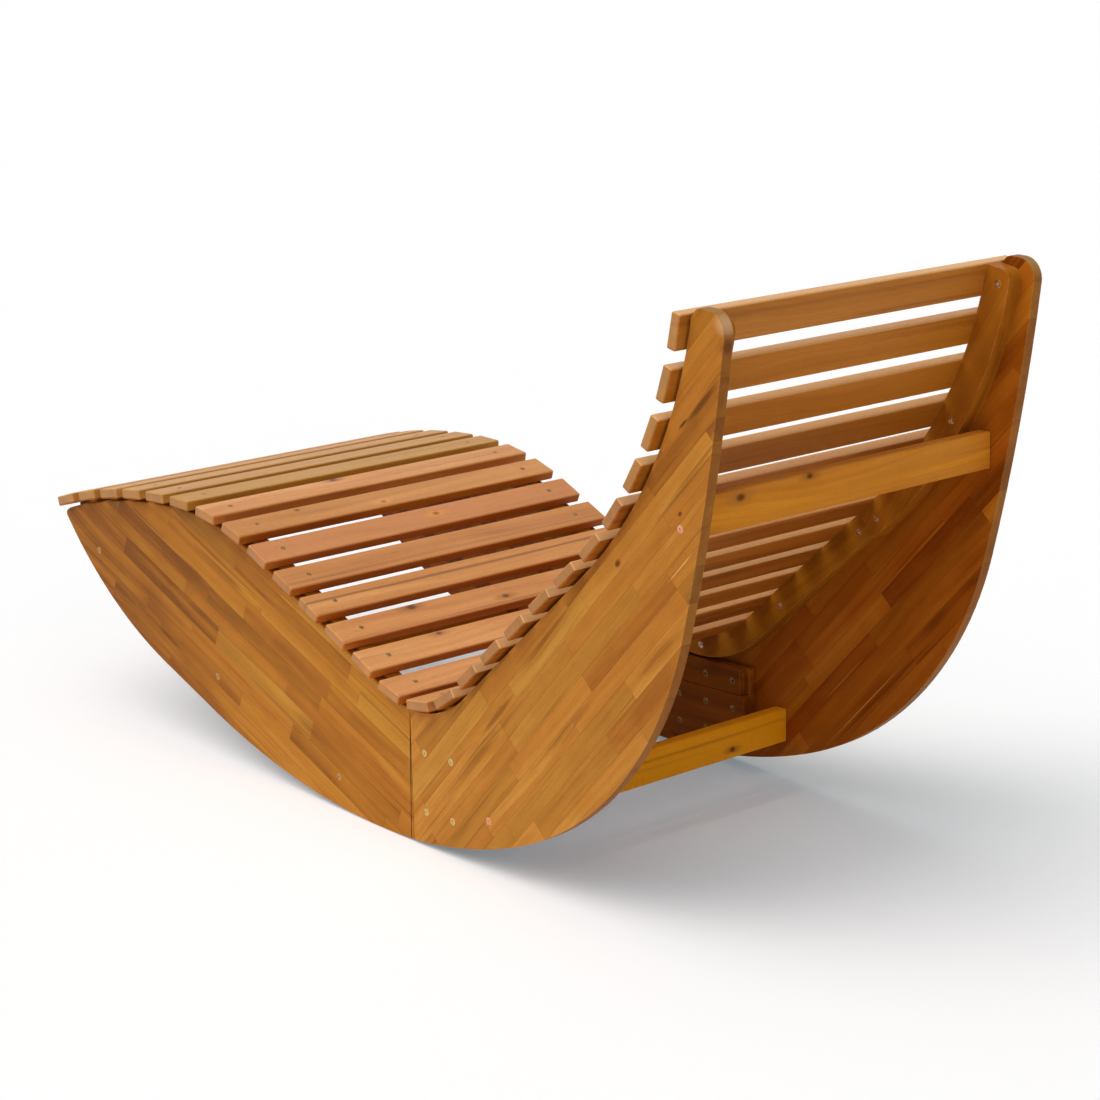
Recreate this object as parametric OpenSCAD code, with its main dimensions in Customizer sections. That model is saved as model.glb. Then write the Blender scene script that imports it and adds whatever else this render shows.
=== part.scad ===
// Rocking sun lounger: slatted lying surface on curved side panels.
// +X runs from the foot end to the head end, Y across, +Z up, millimetres.
// Profiles are drawn in the X-Z plane, with the rocking point of the panels at x = 0, z = 0.

/* [Frame] */
// Width over the outside faces of the side panels
frame_w = 572; // [480:1:800]
// Thickness of the side panels
panel_t = 16; // [14:0.5:24]
// Angle that the panel joint, its splice and the crossbars lean back from upright
rest_lean = 2; // [0:0.5:6]
// Radius of the rounded top rear corner of the side panels
head_corner_r = 28; // [10:1:34]
// Radius of the top front corner of the side panels
head_front_r = 14; // [4:1:16]
// Radius of the tip of the side panels at the foot end
toe_r = 7; // [4:0.5:10]

/* [Lying curve] */
// Lowest point of the seat: distance behind the rocking point
seat_low_x = 75; // [60:1:95]
// Lowest point of the seat: height of the slats' underside
seat_low_z = 196; // [185:1:215]
// Radius of the seat hollow
seat_r = 146; // [125:1:170]
// Turn of the seat hollow towards the foot end, in degrees
seat_front_turn = 23.2; // [21:0.1:25]
// Turn of the seat hollow towards the head end, in degrees
seat_rear_turn = 43.1; // [41:0.1:45]
// Straight run under the thighs
thigh_l = 317; // [290:1:340]
// Radius over the knees
knee_r = 473; // [430:1:520]
// Turn over the knees, in degrees
knee_turn = 25.6; // [24:0.1:27]
// Radius under the shins
shin_r = 1045; // [900:5:1300]
// Straight run behind the small of the back
lumbar_l = 327; // [300:1:350]
// Radius behind the shoulders
back_r = 596; // [540:1:680]

/* [Rocker outline] */
// Radius of the runner from the rocking point back
rocker_rear_r = 770; // [740:5:800]
// Its turn, in degrees
rocker_rear_turn = 22.5; // [21:0.1:24]
// Radius of the runner where it climbs behind the back
rocker_back_r = 505; // [490:1:525]
// Its turn, in degrees
rocker_back_turn = 54.6; // [53:0.1:56]
// Radius of the nearly straight rear edge
rear_edge_r = 3000; // [2000:10:6000]
// Its turn, in degrees
rear_edge_turn = 7.25; // [6.5:0.05:7.6]
// Radius of the runner from the rocking point forward
rocker_front_r = 1190; // [1150:5:1230]
// Its turn, in degrees
rocker_front_turn = 19.6; // [19:0.1:20.2]
// Straight run of the runner under the knees
rocker_knee_l = 134; // [120:1:150]
// Radius of the runner at the foot end
rocker_foot_r = 630; // [600:5:660]
// Its turn, in degrees
rocker_foot_turn = 29.3; // [28:0.1:30]

/* [Slats] */
// Width of a slat
slat_w = 46; // [36:0.5:54]
// Thickness of a slat
slat_t = 15; // [12:0.5:20]
// How far a slat overhangs the outside of the panel
slat_overhang = 14; // [4:0.5:30]
// Radius of the eased long edges
slat_ease = 2.5; // [1:0.5:5]
// Spacing of the slats along the curve, seat
seat_pitch = 65.4; // [62:0.1:68]
// Spacing of the slats along the curve, back
back_pitch = 65.6; // [62:0.1:67]
// Extra spacing below each of the two uppermost slats
head_extra = 2.5; // [0:0.1:4]
// Spacing of the slats along the curve, legs
leg_pitch = 63; // [60:0.1:66]
// Place of the hindmost seat slat along the curve, from the lowest point
seat_slat_place = 24; // [18:1:30]
// Slats under the legs
leg_slats = 5; // [4:1:5]
// Slats under the thighs and seat
seat_slats = 10; // [9:1:10]
// Slats behind the back
back_slats = 12; // [10:1:12]

/* [Rails] */
// Thickness of a rail, across the lounger
rail_t = 24; // [20:1:32]
// Depth of the shin and thigh rails
leg_rail_depth = 40; // [32:1:48]
// Depth of the seat rail
seat_rail_depth = 36; // [30:1:38]
// Depth of the back rail
back_rail_depth = 41; // [34:1:46]
// Joint of the shin and thigh rails, along the curve from the lowest point
knee_joint = -466; // [-475:1:-458]
// Joint of the thigh and seat rails
seat_joint = -36; // [-44:1:-30]
// Joint of the seat and back rails
back_joint = 405; // [398:1:412]
// Gap between two rails at a joint
rail_gap = 0.6; // [0.2:0.1:2]
// Length of the back rail
back_rail_l = 433; // [425:1:438]
// How far the rails stand above the edge of the panels, to carry the slats clear of it
rail_proud = 5; // [0:0.5:8]
// Radius of the back rail's top rear corner
back_rail_corner_r = 16; // [6:1:20]
// Margin of a rail's end screws from the rail's end
rail_screw_margin = 20; // [17:0.5:24]
// Margin of the seat rail's front screw, which sits further in, from the rail's front end
seat_rail_screw_margin = 44; // [36:1:50]
// Place of the rail screws in the depth of the rail, as a share
rail_screw_share = 0.56; // [0.5:0.01:0.62]

/* [Crossbars] */
// Thickness of a crossbar
bar_t = 20; // [16:1:24]
// Height of a crossbar
bar_h = 50; // [40:1:56]
// Foot crossbar: place along the lounger
foot_bar_x = -701; // [-715:1:-690]
// Foot crossbar: height of its middle
foot_bar_z = 266; // [258:1:272]
// Knee crossbar: place along the lounger
knee_bar_x = -390; // [-420:1:-360]
// Knee crossbar: height of its middle
knee_bar_z = 137; // [128:1:160]
// Front seat crossbar: place along the lounger
seat_front_bar_x = -98; // [-110:1:-80]
// Front seat crossbar: height of its middle
seat_front_bar_z = 59; // [52:1:80]
// Rear seat crossbar: place along the lounger
seat_rear_bar_x = 229; // [215:1:240]
// Rear seat crossbar: height of its middle
seat_rear_bar_z = 86; // [80:1:100]
// Back crossbar: place along the lounger
back_bar_x = 586; // [582:1:594]
// Back crossbar: height of its middle
back_bar_z = 558; // [545:1:562]
// How far the crossbars' screws sit below the middle of the bar
bar_screw_drop = 11; // [0:1:14]

/* [Splice] */
// Panel joint and middle of the splice: distance behind the rocking point
splice_x = 69; // [60:1:78]
// Middle of the splice: height
splice_z = 92; // [88:1:94]
// Length of the splice
splice_l = 214; // [200:2:236]
// Height of the splice board
splice_h = 126; // [116:1:128]
// Thickness of the splice board, and of the cleats on it
splice_t = 12; // [9:0.5:16]
// Height of the upper cleat
upper_cleat_h = 41; // [36:1:50]
// How far the upper cleat stops short of the board's ends
upper_cleat_inset = 8; // [2:1:14]
// Half the spacing of the inner columns of fasteners
splice_near_col = 28; // [22:1:32]
// Half the spacing of the outer columns of fasteners
splice_far_col = 84; // [76:1:90]
// Height of the outer rows of fasteners above and below the middle
splice_row = 42; // [38:1:48]
// Gap between the front and rear panels at their joint
panel_gap = 0.5; // [0.2:0.1:2]

/* [Fasteners] */
// Head diameter of the slat screws
slat_head_d = 8; // [6:0.5:9]
// Shank diameter of the slat screws
slat_shank_d = 4; // [3:0.5:5]
// How deep a slat screw goes into its rail
slat_bite = 15; // [12:0.5:16]
// Distance of the slat screws from the rails' inner faces
slat_screw_in = 7.5; // [5:0.5:12]
// Head diameter of the frame's screws and bolts
frame_head_d = 10.5; // [8:0.5:11]
// Shank diameter of the frame's screws and bolts
frame_shank_d = 5.5; // [4:0.5:6]
// Length of a crossbar screw
bar_screw_l = 60; // [45:1:80]
// Wood left past the tips of the rail and splice screws, which end in the panels
screw_cover = 5; // [3:0.5:8]
// Outside diameter of a sleeve nut
nut_d = 8.5; // [7.5:0.5:9]
// Length of a sleeve nut
nut_l = 14; // [10:1:18]
// Thickness of a sleeve nut's head
nut_head_t = 1.5; // [1:0.1:2]
// Clearance round every shank and head
screw_fit = 0.15; // [0.05:0.05:0.4]
// How far a head sits below the wood
head_sink = 0.3; // [0:0.1:1]

/* [Hidden] */
wood = "#b97a33";
slat_wood = "#d0915a";
rail_wood = "#8f5518";
bar_wood = "#ad6d12";
brass = "#c19a52";
steel = "#b58a6a";

slat_l = frame_w + 2 * slat_overhang;
panel_out_y = frame_w / 2;
panel_in_y = panel_out_y - panel_t;
rail_in_y = panel_in_y - rail_t;
slat_screw_y = rail_in_y + slat_screw_in;
slat_count = leg_slats + seat_slats + back_slats;
bolt_depth = panel_t + 2 * splice_t - head_sink;
nut_depth = bolt_depth - head_sink;
// Share of a sleeve nut that its bolt leaves free
nut_free_share = 1 / 3;
// Every screw and bolt: length, head diameter, shank diameter
slat_screw = [slat_t - head_sink + slat_bite, slat_head_d, slat_shank_d];
bar_screw = [bar_screw_l, frame_head_d, frame_shank_d];
rail_screw = [rail_t + panel_t - screw_cover - head_sink, frame_head_d, frame_shank_d];
splice_screw = [2 * splice_t + panel_t - screw_cover - head_sink, frame_head_d, frame_shank_d];
bolt = [bolt_depth - nut_l * nut_free_share, frame_head_d, frame_shank_d];
function head_h(screw) = (screw[1] - screw[2]) / 2;
// Hexagon recess of the heads, as shares of the head's diameter and height
recess_share = 0.45;
recess_depth_share = 0.8;
// Blunt tip of a screw, as a share of the shank's radius
tip_share = 0.25;

// Roundness of the long arcs, the corners and the small round parts
arc_fn = 720;
corner_fn = 96;
round_fn = 32;

// Overlap that keeps cuts and joined areas clean, and a size past everything
small_overlap = 1;
far = 3000;

// A path is a start [x, z, heading] and stretches: [radius, turn, laps] with a left turn positive,
// or [0, length, 0] for a straight. A stretch with more laps stands further out than its
// neighbours, so that their lines cross where they meet and don't just touch.
joint_lap = 0.01;
full_laps = 2;
lap_run = 10;
// The waste along a path is a band of this width, and a little more on the side that is kept.
band_w = 20;
band_depth = 5;
band_steps = 10;
function ahead(s, l) = [s[0] + l * cos(s[2]), s[1] + l * sin(s[2]), s[2]];
function bend(s, r, turn) =
    [s[0] + sign(turn) * r * (sin(s[2] + turn) - sin(s[2])),
     s[1] - sign(turn) * r * (cos(s[2] + turn) - cos(s[2])),
     s[2] + turn];
function after(s, st) = st[0] == 0 ? ahead(s, st[1]) : bend(s, st[0], st[1]);
function walk(s, sts, i = 0) = i == len(sts) ? [s] : concat([s], walk(after(s, sts[i]), sts, i + 1));
function run(st) = st[0] == 0 ? st[1] : st[0] * abs(st[1]) * PI / 180;
function partly(s, st, l) = st[0] == 0 ? ahead(s, l) : bend(s, st[0], sign(st[1]) * l / st[0] * 180 / PI);
function along(s, sts, l, i = 0) =
    i == len(sts) - 1 || l <= run(sts[i]) ? partly(s, sts[i], l)
                                           : along(after(s, sts[i]), sts, l - run(sts[i]), i + 1);
function last(list) = list[len(list) - 1];
function about(s) = [s[0], s[1], s[2] - 180];
// The point at distance d to the right of a path, which is below the lying curve
function beside(s, d) = [s[0] + d * sin(s[2]), s[1] - d * cos(s[2])];

// The panels' outline, both ways from the rocking point, with a run at each end that closes it
closing_run = 110;
toe_top_heading = 30;
runner_rear = [
    [rocker_rear_r, rocker_rear_turn, 2],
    [rocker_back_r, rocker_back_turn, 3],
    [rear_edge_r, rear_edge_turn, 1],
    [head_corner_r, 180 - rocker_rear_turn - rocker_back_turn - rear_edge_turn, 3],
    [0, closing_run, 0]
];
runner_front = [
    [rocker_front_r, -rocker_front_turn, 1],
    [0, rocker_knee_l, 0],
    [rocker_foot_r, -rocker_foot_turn, 1],
    [toe_r, toe_top_heading - 180 + rocker_front_turn + rocker_foot_turn, 2],
    [0, closing_run, 0]
];
function reversed(st) = st[0] == 0 ? st : [st[0], -st[1], st[2]];
whole_runner = concat(
    [for (i = [len(runner_rear) - 1 : -1 : 0]) reversed(runner_rear[i])],
    runner_front
);
rear_states = walk([0, 0, 0], runner_rear);
front_states = walk([0, 0, 180], runner_front);
frame_top = rear_states[4][1];
rear_most = rear_states[3][0] + head_corner_r * (1 - sin(rear_states[3][2]));
toe_front = front_states[3][0] - toe_r * (1 - sin(front_states[3][2]));

// The lying curve is the line of the slats' undersides, both ways from the lowest point. Its last
// arcs turn on until they are this far above the frame and in front of it.
past_frame = 25;
low_to_head = [seat_low_x, seat_low_z, 0];
low_to_foot = [seat_low_x, seat_low_z, 180];
seat_and_lumbar = [[seat_r, seat_rear_turn, 1], [0, lumbar_l, 0]];
seat_and_legs = [[seat_r, -seat_front_turn, 1], [0, thigh_l, 0], [knee_r, knee_turn, 2]];
back_start = last(walk(low_to_head, seat_and_lumbar));
shin_start = last(walk(low_to_foot, seat_and_legs));
back_rise = frame_top + past_frame - back_start[1];
shin_reach = shin_start[0] + past_frame - toe_front;
back_turn = acos(cos(back_start[2]) - back_rise / back_r) - back_start[2];
shin_turn = 180 - asin(sin(shin_start[2]) - shin_reach / shin_r) - shin_start[2];
to_head = concat(seat_and_lumbar, [[back_r, back_turn, 1]]);
to_foot = concat(seat_and_legs, [[shin_r, shin_turn, 1]]);
curve_foot = about(last(walk(low_to_foot, to_foot)));
whole_curve = concat(
    [for (i = [len(to_foot) - 1 : -1 : 1]) reversed(to_foot[i])],
    [[seat_r, seat_front_turn + seat_rear_turn, 1]],
    [for (i = [1 : len(to_head) - 1]) to_head[i]]
);
function curve_at(place) =
    place >= 0 ? along(low_to_head, to_head, place)
               : about(along(low_to_foot, to_foot, -place));

// Slats count from the foot end, starting at 1.
knee_slat_place = seat_slat_place - (seat_slats - 1) * seat_pitch;
function slat_place(i) =
    i <= leg_slats ? knee_slat_place - (leg_slats + 1 - i) * leg_pitch
    : i <= leg_slats + seat_slats ? knee_slat_place + (i - leg_slats - 1) * seat_pitch
    : seat_slat_place + (i - leg_slats - seat_slats) * back_pitch + max(0, i - slat_count + 2) * head_extra;
function slat_name(i) =
    i <= leg_slats ? str("leg_slat_", i)
    : i <= leg_slats + seat_slats ? str("seat_slat_", i - leg_slats)
    : str("back_slat_", i - leg_slats - seat_slats);
// A slat lies across a hollow where the curve turns up by more than this under it, in degrees.
flat_turn = 0.3;
function slat_dips(i) =
    curve_at(slat_place(i) + slat_w / 2)[2] - curve_at(slat_place(i) - slat_w / 2)[2] > flat_turn;

// The middle of the whole lounger
foot_slat = curve_at(slat_place(1));
slat_front = foot_slat[0] - (slat_w / 2 - slat_ease) * cos(foot_slat[2])
    - (slat_t - slat_ease) * sin(foot_slat[2]) - slat_ease;
middle_x = (rear_most + min(slat_front, toe_front)) / 2;

// Rails: name, start and end along the curve, depth. The shin rail starts under the first slat,
// this share of its width in front of its middle.
foot_rail_share = 0.25;
rail_names = ["shin_rail", "thigh_rail", "seat_rail", "back_rail"];
rail_ends = [
    [slat_place(1) - slat_w * foot_rail_share, knee_joint],
    [knee_joint + rail_gap, seat_joint],
    [seat_joint + rail_gap, back_joint],
    [back_joint + rail_gap, back_joint + back_rail_l]
];
rail_depths = [leg_rail_depth, leg_rail_depth, seat_rail_depth, back_rail_depth];
rail_front_margins = [rail_screw_margin, rail_screw_margin, seat_rail_screw_margin, rail_screw_margin];
function rail_screw_places(k) = [
    rail_ends[k][0] + rail_front_margins[k],
    (rail_ends[k][0] + rail_ends[k][1]) / 2,
    rail_ends[k][1] - rail_screw_margin
];
function in_rail(k, place) = place > rail_ends[k][0] && place < rail_ends[k][1];

bar_names = ["foot_crossbar", "knee_crossbar", "seat_front_crossbar", "seat_rear_crossbar", "back_crossbar"];
bar_places = [
    [foot_bar_x, foot_bar_z],
    [knee_bar_x, knee_bar_z],
    [seat_front_bar_x, seat_front_bar_z],
    [seat_rear_bar_x, seat_rear_bar_z],
    [back_bar_x, back_bar_z]
];

side_names = ["left", "right"];
sides = [-1, 1];
bolt_spots = [for (u = [splice_near_col, splice_far_col], v = [-splice_row, splice_row]) [u, v]];
inner_screw_spots = concat(
    [for (u = [splice_near_col, splice_far_col]) [u, 0]],
    [for (u = [-splice_near_col, -splice_far_col], v = [-splice_row, 0, splice_row]) [u, v]]
);

// A flat piece whose X-Z profile is its child, from y = y0 inwards or outwards to y = y1.
module board(y0, y1) {
    translate([0, max(y0, y1), 0])
        rotate([90, 0, 0])
            linear_extrude(abs(y1 - y0))
                children();
}

// How far a stretch is drawn to the right of its path
function level(st) = joint_lap * (full_laps + sign(st[1]) * st[2]);
// The state at a share of a stretch, also before its start and past its end
function part_way(s, st, share) =
    st[0] == 0 ? ahead(s, share * st[1])
    : [s[0] + sign(st[1]) * st[0] * (sin(s[2] + share * st[1]) - sin(s[2])),
       s[1] - sign(st[1]) * st[0] * (cos(s[2] + share * st[1]) - cos(s[2])),
       s[2] + share * st[1]];
// The share by which a stretch's waste runs on over a neighbour that stands further out
function run_on(sts, i, next) =
    next < 0 || next == len(sts) || level(sts[next]) < level(sts[i]) ? lap_run / run(sts[i]) : 0;

// What is taken away to the left of one stretch of a path.
module waste_beside(sts, i, s, d) {
    st = sts[i];
    side = sign(st[1]);
    from = -run_on(sts, i, i - 1);
    to = 1 + run_on(sts, i, i + 1);
    steps = st[0] == 0 ? 1 : band_steps;
    states = [for (j = [0 : steps]) part_way(s, st, from + (to - from) * j / steps)];
    outer = [for (p = states) beside(p, d - band_w)];
    inner = [for (j = [steps : -1 : 0]) beside(states[j], d + band_depth)];
    drawn = d + level(st);
    centre = [s[0] - side * st[0] * sin(s[2]), s[1] + side * st[0] * cos(s[2])];
    if (st[0] == 0)
        polygon(concat(outer, [beside(states[1], drawn), beside(states[0], drawn)]));
    else if (side < 0)
        difference() {
            polygon(concat(outer, [inner[0], last(inner)]));
            translate(centre)
                circle(st[0] - drawn, $fn = arc_fn);
        }
    else
        intersection() {
            polygon(concat(outer, inner));
            translate(centre)
                circle(st[0] + drawn, $fn = arc_fn);
        }
}

// Everything to the right of a path, out to the closing points.
module area_beside(start, sts, d, closing) {
    states = walk(start, sts);
    rough = [for (i = [0 : len(sts) - 1], j = [0 : band_steps]) part_way(states[i], sts[i], j / band_steps)];
    difference() {
        polygon(concat([for (p = rough) beside(p, d - band_w / 2)], closing));
        for (i = [0 : len(sts) - 1])
            waste_beside(sts, i, states[i], d);
    }
}

// Below the lying curve, d under the slats.
module under_curve(d = 0) {
    area_beside(curve_foot, whole_curve, d, [[far, 2 * far], [far, -far], [-far, -far], [-far, -far / 2]]);
}

// Inside the runner and the head and foot ends of the panels.
module inside_runner() {
    area_beside(about(last(rear_states)), whole_runner, 0, []);
}

// A state's frame: local x along the path, local z square to it.
module at_state(s) {
    translate([s[0], 0, s[1]])
        rotate([0, -s[2], 0])
            children();
}
module at_slat(i) {
    at_state(curve_at(slat_place(i)))
        children();
}
module leaning_at(p) {
    at_state([p[0], p[1], rest_lean])
        children();
}
// The same frames for flat profiles
module flat_at(s) {
    translate([s[0], s[1]])
        rotate(s[2])
            children();
}

// Flat seats cut where the curve is hollow, so that a straight slat lies flush.
module slat_seats() {
    for (i = [1 : slat_count])
        if (slat_dips(i))
            flat_at(curve_at(slat_place(i)))
                translate([-slat_w / 2, -2 * full_laps * joint_lap])
                    square([slat_w, 2 * slat_t]);
}

// A corner rounded by taking away what lies outside its circle.
module corner_waste(s, r) {
    flat_at(s)
        difference() {
            translate([-r, -small_overlap])
                square([r + small_overlap, r + small_overlap]);
            translate([-r, r])
                circle(r + joint_lap, $fn = corner_fn);
        }
}

// A hexagon recess that sinks into a head at z = 0.
module recess(size) {
    depth = head_h(size) * recess_depth_share;
    r = size[1] * recess_share / 2;
    translate([0, 0, -depth])
        cylinder(depth + small_overlap, r, r, $fn = 6);
}
// A screw or bolt with its head at z = 0 and its tip down.
module screw(size) {
    l = size[0];
    r = size[2] / 2;
    tip_l = size[2];
    difference() {
        union() {
            translate([0, 0, -head_h(size)])
                cylinder(head_h(size), r, size[1] / 2, $fn = round_fn);
            translate([0, 0, -l + tip_l])
                cylinder(l - tip_l - head_h(size), r, r, $fn = round_fn);
            translate([0, 0, -l])
                cylinder(tip_l, r * tip_share, r, $fn = round_fn);
        }
        recess(size);
    }
}
// The hole for that screw, from the surface that its head is sunk in.
module screw_hole(size) {
    l = size[0] + screw_fit;
    fit_head_r = size[1] / 2 + screw_fit;
    fit_r = size[2] / 2 + screw_fit;
    translate([0, 0, -head_h(size)])
        cylinder(head_h(size), fit_r, fit_head_r, $fn = round_fn);
    translate([0, 0, -l])
        cylinder(l, fit_r, fit_r, $fn = round_fn);
    cylinder(head_sink + small_overlap, fit_head_r, fit_head_r, $fn = round_fn);
}

// Local -z points along the screw: outwards from inside the lounger, or inwards from outside.
module facing_out(side) {
    rotate([90 * side, 0, 0])
        children();
}
module facing_in(side) {
    rotate([-90 * side, 0, 0])
        children();
}

module each_slat_screw(from, to) {
    for (i = [1 : slat_count])
        if (slat_place(i) > from && slat_place(i) < to)
            at_slat(i)
                translate([0, 0, slat_t - head_sink])
                    children();
}
module each_rail_screw(k, side) {
    for (place = rail_screw_places(k))
        at_state(curve_at(place))
            translate([0, side * (rail_in_y + head_sink), -rail_depths[k] * rail_screw_share])
                facing_out(side)
                    children();
}
module each_bar_screw(side) {
    for (p = bar_places)
        leaning_at(p)
            translate([0, side * (panel_out_y - head_sink), -bar_screw_drop])
                facing_in(side)
                    children();
}
module each_bolt(side) {
    for (spot = bolt_spots)
        leaning_at([splice_x, splice_z])
            translate([spot[0], side * (panel_out_y - head_sink), spot[1]])
                facing_in(side)
                    children();
}
module each_splice_screw(side) {
    for (spot = inner_screw_spots)
        leaning_at([splice_x, splice_z])
            translate([spot[0], side * (panel_in_y - 2 * splice_t + head_sink), spot[1]])
                facing_out(side)
                    children();
}

// A sleeve nut, its flat head at the inside of the splice, in a bolt's frame.
module nut() {
    bore_r = frame_shank_d / 2 + screw_fit;
    depth = head_h(bolt) * recess_depth_share;
    difference() {
        translate([0, 0, -nut_depth])
            union() {
                cylinder(nut_head_t, frame_head_d / 2, frame_head_d / 2, $fn = round_fn);
                cylinder(nut_l, nut_d / 2, nut_d / 2, $fn = round_fn);
            }
        translate([0, 0, -nut_depth + depth])
            cylinder(nut_l, bore_r, bore_r, $fn = round_fn);
        translate([0, 0, -nut_depth])
            mirror([0, 0, 1])
                recess(bolt);
    }
}
module nut_hole() {
    translate([0, 0, -bolt_depth - small_overlap]) {
        cylinder(small_overlap + head_sink + nut_l + screw_fit,
                 nut_d / 2 + screw_fit, nut_d / 2 + screw_fit, $fn = round_fn);
        cylinder(small_overlap + head_sink + nut_head_t + screw_fit,
                 frame_head_d / 2 + screw_fit, frame_head_d / 2 + screw_fit, $fn = round_fn);
    }
}

module slat(i) {
    color(slat_wood)
        difference() {
            at_slat(i)
                rotate([90, 0, 0])
                    linear_extrude(slat_l, center = true)
                        eased_section();
            for (y = [-slat_screw_y, slat_screw_y])
                at_slat(i)
                    translate([0, y, slat_t - head_sink])
                        screw_hole(slat_screw);
        }
}
module eased_section() {
    translate([-slat_w / 2 + slat_ease, 0])
        square([slat_w - 2 * slat_ease, slat_t]);
    translate([-slat_w / 2, slat_ease])
        square([slat_w, slat_t - 2 * slat_ease]);
    for (x = [-slat_w / 2 + slat_ease, slat_w / 2 - slat_ease], z = [slat_ease, slat_t - slat_ease])
        translate([x, z])
            circle(slat_ease, $fn = round_fn);
}

// The whole side outline, before it is sawn at the panel joint.
module side_outline() {
    head_front = curve_top_state();
    difference() {
        intersection() {
            inside_runner();
            under_curve(rail_proud);
        }
        slat_seats();
        corner_waste([head_front[0] + rail_proud / sin(head_front[2]), frame_top, 180], head_front_r);
    }
}
// Where the lying curve reaches the top of the frame, found by halving
halvings = 24;
function curve_top_place(lo = 0, hi = far / 2, n = halvings) =
    n == 0 ? (lo + hi) / 2
    : curve_at((lo + hi) / 2)[1] > frame_top ? curve_top_place(lo, (lo + hi) / 2, n - 1)
                                             : curve_top_place((lo + hi) / 2, hi, n - 1);
function curve_top_state() = curve_at(curve_top_place());

module panel(side, rear) {
    color(wood)
        difference() {
            board(side * panel_in_y, side * panel_out_y)
                intersection() {
                    side_outline();
                    flat_at([splice_x, splice_z, rest_lean])
                        translate([rear ? panel_gap / 2 : -far, -far / 2])
                            square([far - panel_gap / 2, far]);
                }
            each_bar_screw(side)
                screw_hole(bar_screw);
            each_bolt(side)
                screw_hole(bolt);
            each_splice_screw(side)
                screw_hole(splice_screw);
            for (k = [0 : len(rail_names) - 1])
                each_rail_screw(k, side)
                    screw_hole(rail_screw);
        }
}

// A rail is cut from the band under the curve by a rough shape this much deeper on either side.
rail_cut_share = 0.25;
rail_cut_steps = 12;
module rail(k, side) {
    depth = rail_depths[k];
    from = rail_ends[k][0];
    to = rail_ends[k][1];
    beyond = depth * rail_cut_share;
    path = [for (j = [0 : rail_cut_steps]) curve_at(from + (to - from) * j / rail_cut_steps)];
    rear_corner = concat(beside(last(path), depth), last(path)[2]);
    color(rail_wood)
        difference() {
            board(side * rail_in_y, side * panel_in_y)
                difference() {
                    intersection() {
                        difference() {
                            under_curve();
                            under_curve(depth);
                        }
                        polygon(concat(
                            [for (p = path) beside(p, -beyond)],
                            [for (j = [rail_cut_steps : -1 : 0]) beside(path[j], depth + beyond)]
                        ));
                    }
                    slat_seats();
                    if (k == len(rail_names) - 1)
                        corner_waste(rear_corner, back_rail_corner_r);
                }
            for (y = [-slat_screw_y, slat_screw_y])
                each_slat_screw(from, to)
                    translate([0, y, 0])
                        screw_hole(slat_screw);
            each_rail_screw(k, side)
                screw_hole(rail_screw);
        }
}

module crossbar(p) {
    color(bar_wood)
        difference() {
            leaning_at(p)
                cube([bar_t, 2 * panel_in_y, bar_h], center = true);
            for (side = sides)
                each_bar_screw(side)
                    screw_hole(bar_screw);
        }
}

// A flat piece of the splice, from a distance inside the panel, spanning u by v about the middle.
module splice_piece(side, inside, l, v0, v1) {
    y0 = panel_in_y - inside - splice_t;
    difference() {
        leaning_at([splice_x, splice_z])
            translate([-l / 2, side > 0 ? y0 : -y0 - splice_t, v0])
                cube([l, splice_t, v1 - v0]);
        each_bolt(side)
            screw_hole(bolt);
        each_bolt(side)
            nut_hole();
        each_splice_screw(side)
            screw_hole(splice_screw);
    }
}
module splice_board(side) {
    color(rail_wood)
        splice_piece(side, 0, splice_l, -splice_h / 2, splice_h / 2);
}
module upper_cleat(side) {
    color(rail_wood)
        splice_piece(side, splice_t, splice_l - 2 * upper_cleat_inset,
                     splice_h / 2 - upper_cleat_h, splice_h / 2);
}
module lower_cleat(side) {
    color(rail_wood)
        splice_piece(side, splice_t, splice_l, -splice_h / 2, splice_h / 2 - upper_cleat_h);
}

module slat_screws() {
    color(brass)
        for (y = [-slat_screw_y, slat_screw_y])
            each_slat_screw(-2 * far, 2 * far)
                translate([0, y, 0])
                    screw(slat_screw);
}
module rail_screws() {
    color(brass)
        for (side = sides, k = [0 : len(rail_names) - 1])
            each_rail_screw(k, side)
                screw(rail_screw);
}
module crossbar_screws() {
    color(brass)
        for (side = sides)
            each_bar_screw(side)
                screw(bar_screw);
}
module splice_bolts() {
    color(brass)
        for (side = sides)
            each_bolt(side)
                screw(bolt);
}
module splice_nuts() {
    color(steel)
        for (side = sides)
            each_bolt(side)
                nut();
}
module splice_screws() {
    color(brass)
        for (side = sides)
            each_splice_screw(side)
                screw(splice_screw);
}

// The part's origin is under the middle of its bounding box, on the floor.
translate([-middle_x, 0, 0]) {
    for (i = [1 : slat_count])
        slat(i);
    for (n = [0, 1]) {
        panel(sides[n], false);
        panel(sides[n], true);
        for (k = [0 : len(rail_names) - 1])
            rail(k, sides[n]);
        splice_board(sides[n]);
        upper_cleat(sides[n]);
        lower_cleat(sides[n]);
    }
    for (k = [0 : len(bar_names) - 1])
        crossbar(bar_places[k]);
    slat_screws();
    rail_screws();
    crossbar_screws();
    splice_bolts();
    splice_nuts();
    splice_screws();
}
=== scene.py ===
# Rocking sun lounger: the wood, the metal, the light and the camera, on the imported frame.
from math import cos, pi, radians, sin

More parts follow.
